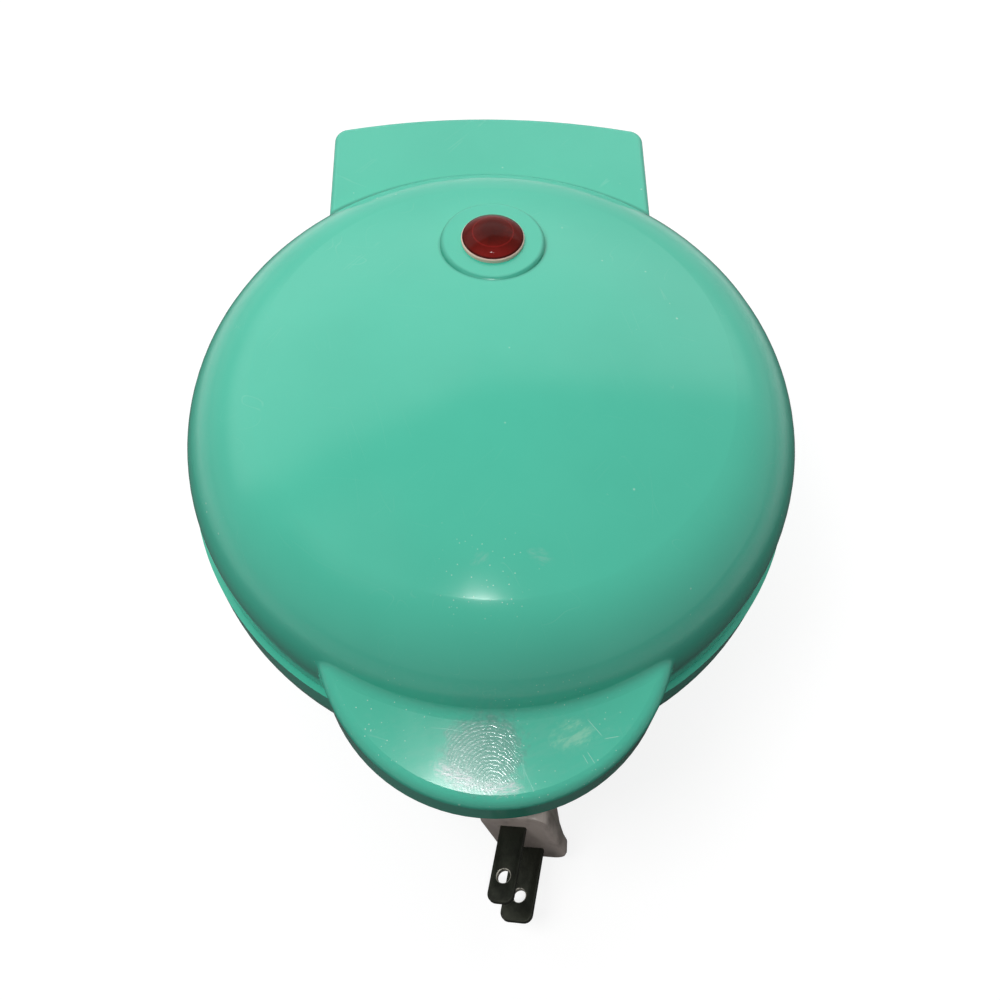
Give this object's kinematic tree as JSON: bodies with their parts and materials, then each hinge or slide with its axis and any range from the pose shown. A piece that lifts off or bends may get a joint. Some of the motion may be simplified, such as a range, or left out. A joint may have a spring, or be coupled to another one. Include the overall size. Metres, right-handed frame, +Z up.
{
  "type": "mini waffle maker",
  "caption": "Small round countertop waffle maker with a hinged domed lid, gridded plates, an indicator light, a front handle tab and a plug on a cord wound up under the base.",
  "frame": {"origin": "on the floor, at the centre of the round body's footprint", "axes": "+Z up, -Y towards the handle, +Y towards the hinge, X along the hinge"},
  "size_m": [0.1484, 0.2009, 0.0899],
  "materials": {
    "lid_plastic": "glossy aqua, moulded",
    "base_plastic": "glossy aqua, moulded",
    "cover_plastic": "fine matt grain",
    "plate_coating": "dark non-stick coating on cast aluminium",
    "element_sheath": "heat-dulled sheath",
    "shield_sheet": "aluminised sheet",
    "screw_steel": "zinc plated",
    "pin_steel": "ground",
    "thermostat_body": "phenolic",
    "fuse_case": "plated",
    "terminal_plastic": "plain",
    "wire_sleeve": "woven glass sleeve",
    "cord_vinyl": "satin vinyl",
    "plug_vinyl": "satin vinyl",
    "blade_metal": "plated, worn",
    "red_lens": "clear red moulding",
    "lamp_glass": "clear",
    "holder_rubber": "plain",
    "foot_rubber": "matt"
  },
  "bodies": {
    "base": {"base_shell": "base_plastic", "bottom_cover": "cover_plastic", "cover_screws": "screw_steel", "foot_front_left": "foot_rubber", "foot_front_right": "foot_rubber", "foot_rear_left": "foot_rubber", "foot_rear_right": "foot_rubber", "hinge_pin_left": "pin_steel", "hinge_pin_right": "pin_steel", "lower_plate": "plate_coating", "lower_element": "element_sheath", "lower_heat_shield": "shield_sheet", "lower_plate_screws": "screw_steel", "thermostat": "thermostat_body", "thermal_fuse": "fuse_case", "terminal_block": "terminal_plastic", "live_wire": "wire_sleeve", "neutral_wire": "wire_sleeve", "base_harness": "wire_sleeve", "inner_cord": "cord_vinyl", "cord_gland": "cord_vinyl", "cord_coil": "cord_vinyl", "cord_tail": "cord_vinyl", "plug_body": "plug_vinyl", "blade_narrow": "blade_metal", "blade_wide": "blade_metal"},
    "lid": {"lid_shell": "lid_plastic", "indicator_lens": "red_lens", "indicator_lamp": "lamp_glass", "lamp_holder": "holder_rubber", "upper_plate": "plate_coating", "upper_element": "element_sheath", "upper_heat_shield": "shield_sheet", "upper_plate_screws": "screw_steel", "lid_harness": "wire_sleeve"}
  },
  "joints": [
    {"name": "lid_hinge", "type": "hinge", "parent": "base", "child": "lid", "pos_m": [0, 0.0794, 0.047], "axis": [-1, 0, 0], "range_deg": [0, 103]}
  ]
}
